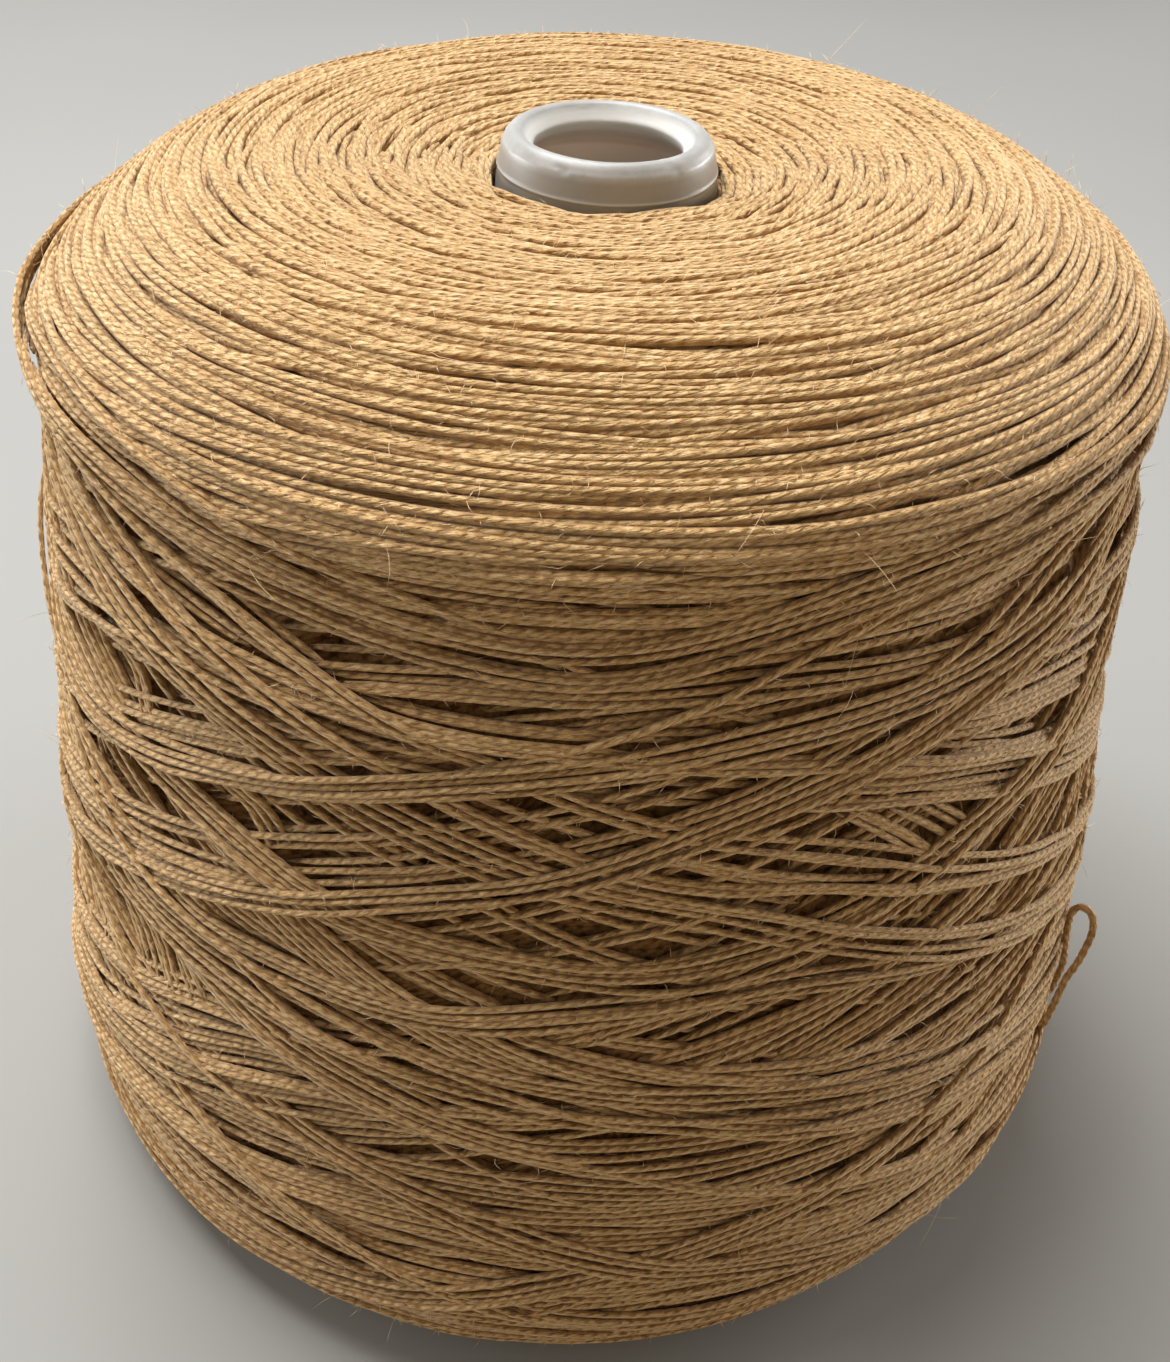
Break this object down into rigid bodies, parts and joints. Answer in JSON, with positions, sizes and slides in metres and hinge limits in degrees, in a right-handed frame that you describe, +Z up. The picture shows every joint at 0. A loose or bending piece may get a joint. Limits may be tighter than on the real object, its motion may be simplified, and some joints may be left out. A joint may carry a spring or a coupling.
{
  "type": "cone of yarn",
  "caption": "Large cone of soft two-ply camel-coloured yarn, cross-wound with a domed top on a hollow tapered plastic core.",
  "frame": {"origin": "on the cone's axis, in the plane of the plastic cone's base ring, on which it stands", "axes": "+Z up along the cone's axis towards its nose; -Y is the side that faces the viewer; +X is the side with the slack loop of yarn"},
  "size_m": [0.1888, 0.1887, 0.17],
  "materials": {
    "core_plastic": "frosted translucent white polypropylene",
    "yarn": "soft woollen two-ply yarn, slightly fuzzy"
  },
  "bodies": {
    "root": {"core": "core_plastic", "winding": "yarn", "loose_loop": "yarn"}
  },
  "joints": []
}
